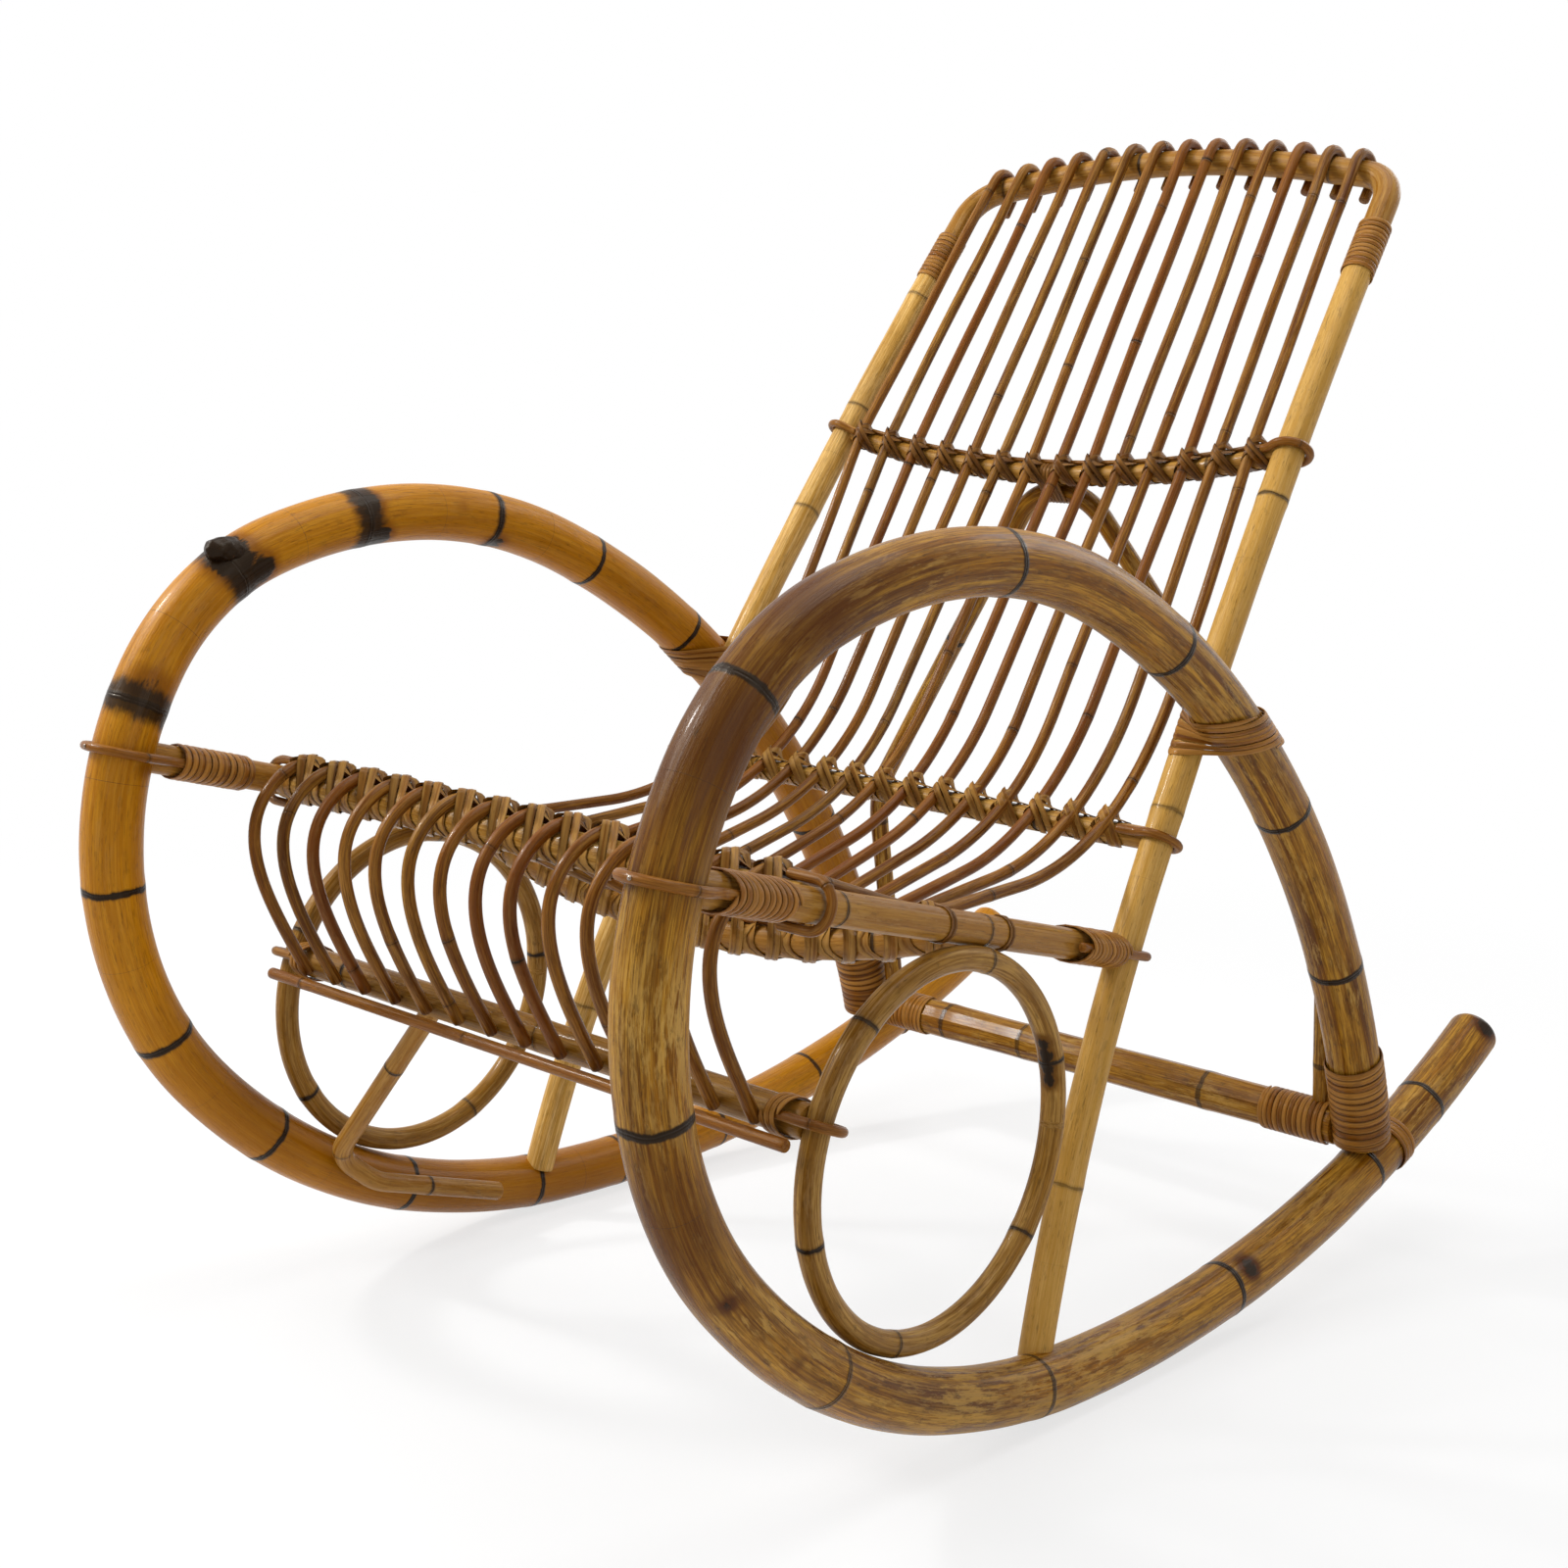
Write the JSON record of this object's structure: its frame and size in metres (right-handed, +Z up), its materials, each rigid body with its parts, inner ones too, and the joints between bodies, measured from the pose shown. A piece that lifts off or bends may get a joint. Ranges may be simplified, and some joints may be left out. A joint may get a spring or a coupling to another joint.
{
  "type": "rattan rocking chair",
  "caption": "Rocking chair of bent rattan poles: hoops that are runner and armrest in one, a leaning back and a dished seat of long canes, and cane lashings.",
  "frame": {"origin": "on the floor, at the middle of the bounding box's base", "axes": "+Z up, X across the chair, -Y toward the front of the seat"},
  "size_m": [0.6278, 1.1293, 0.9869],
  "materials": {
    "pole": "satin",
    "rail": "satin",
    "spindle": "satin",
    "peel": "satin",
    "dark_peel": "satin"
  },
  "bodies": {
    "root": {"hoop_right": "pole", "hoop_left": "pole", "post_right": "rail", "post_left": "rail", "top_rail": "rail", "mid_back_rail": "rail", "low_back_rail": "rail", "front_seat_rail": "rail", "dished_seat_rail": "rail", "low_front_rail": "rail", "front_strip": "rail", "rear_stretcher": "pole", "side_rail_right": "rail", "side_rail_left": "rail", "ring_right": "rail", "ring_left": "rail", "back_arch": "pole", "front_brace": "rail", "cane_1": "spindle", "cane_2": "spindle", "cane_3": "spindle", "cane_4": "spindle", "cane_5": "spindle", "cane_6": "spindle", "cane_7": "spindle", "cane_8": "spindle", "cane_9": "spindle", "cane_10": "spindle", "cane_11": "spindle", "cane_12": "spindle", "cane_13": "spindle", "cane_14": "spindle", "hoop_loops": "rail", "side_post_loops": "rail", "mid_post_loops": "rail", "low_post_loops": "rail", "front_rail_loops": "rail", "ring_loops": "rail", "dished_rail_bands": "dark_peel", "hoop_end_windings": "peel", "tail_windings": "peel", "side_front_windings": "peel", "side_back_windings": "peel", "corner_windings": "peel", "stretcher_windings": "peel", "low_front_windings": "peel", "arm_lashings": "peel", "arch_lashing": "dark_peel", "mid_lashings": "dark_peel", "low_lashings": "dark_peel", "front_lashings": "peel", "dished_lashings": "dark_peel"}
  },
  "joints": []
}
